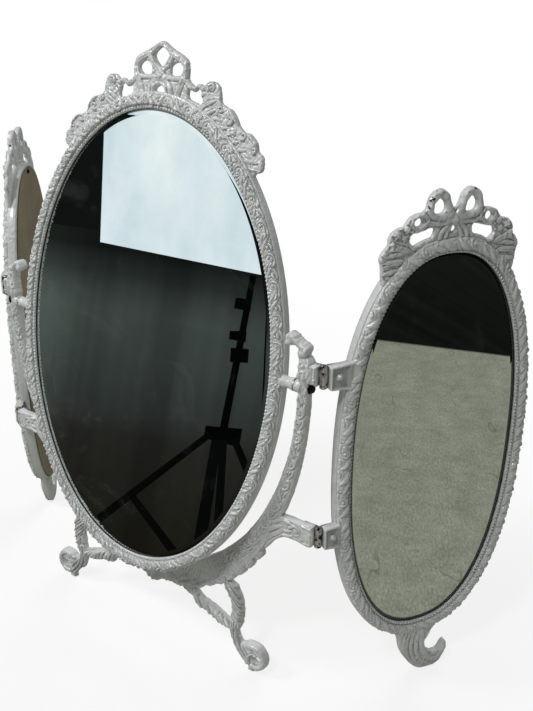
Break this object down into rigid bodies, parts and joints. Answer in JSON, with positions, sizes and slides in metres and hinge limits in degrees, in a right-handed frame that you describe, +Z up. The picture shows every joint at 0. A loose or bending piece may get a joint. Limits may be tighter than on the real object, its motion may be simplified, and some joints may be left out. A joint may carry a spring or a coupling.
{
  "type": "triple dressing table mirror",
  "caption": "Free-standing three-leaf vanity mirror in white-painted cast metal: tilting oval centre in a scrolled yoke stand, with hinged oval wings on their own scroll feet.",
  "frame": {"origin": "the table top straight under the middle of the tilt axis", "axes": "X to the right wing, Y to the back, Z up; the mirrors face -Y"},
  "size_m": [0.5459, 0.1954, 0.4945],
  "materials": {
    "white_paint": "satin off-white paint over cast metal",
    "mirror_glass": "silvered bevelled glass",
    "packing_card": "grey packing card",
    "hardboard": "brown hardboard",
    "dark_screws": "dark domed screw heads",
    "dark_steel": "worn dark steel hinges and rivets"
  },
  "bodies": {
    "stand": {"stand_frame": "white_paint", "stand_leaf_upper_right": "dark_steel", "stand_leaf_lower_right": "dark_steel", "stand_leaf_upper_left": "dark_steel", "stand_leaf_lower_left": "dark_steel", "hinge_pin_upper_right": "dark_steel", "hinge_pin_lower_right": "dark_steel", "hinge_pin_upper_left": "dark_steel", "hinge_pin_lower_left": "dark_steel", "stand_leaf_screws": "dark_steel"},
    "centre_mirror": {"centre_frame": "white_paint", "centre_glass": "mirror_glass", "centre_packing": "packing_card", "centre_backboard": "hardboard", "centre_board_screws": "dark_screws", "pivot_screw_right": "dark_screws", "pivot_screw_left": "dark_screws", "pivot_washer_right": "dark_steel", "pivot_washer_left": "dark_steel"},
    "right_wing": {"right_wing_frame": "white_paint", "right_wing_glass": "mirror_glass", "right_wing_packing": "packing_card", "right_wing_backboard": "hardboard", "right_wing_board_screws": "dark_screws", "right_wing_leaf_upper": "dark_steel", "right_wing_leaf_lower": "dark_steel", "right_wing_rivets": "dark_steel"},
    "left_wing": {"left_wing_frame": "white_paint", "left_wing_glass": "mirror_glass", "left_wing_packing": "packing_card", "left_wing_backboard": "hardboard", "left_wing_board_screws": "dark_screws", "left_wing_leaf_upper": "dark_steel", "left_wing_leaf_lower": "dark_steel", "left_wing_rivets": "dark_steel"}
  },
  "joints": [
    {"name": "centre_tilt", "type": "hinge", "parent": "stand", "child": "centre_mirror", "pos_m": [0, 0, 0.2724], "axis": [1, 0, 0], "range_deg": [-16.6, 23.4]},
    {"name": "right_wing_swing", "type": "hinge", "parent": "stand", "child": "right_wing", "pos_m": [0.1679, 0.0015, 0.2832], "axis": [0, 0, 1], "range_deg": [-120.7, 34.3]},
    {"name": "left_wing_swing", "type": "hinge", "parent": "stand", "child": "left_wing", "pos_m": [-0.1679, 0.0015, 0.2832], "axis": [0, 0, -1], "range_deg": [-111.3, 43.7]}
  ]
}
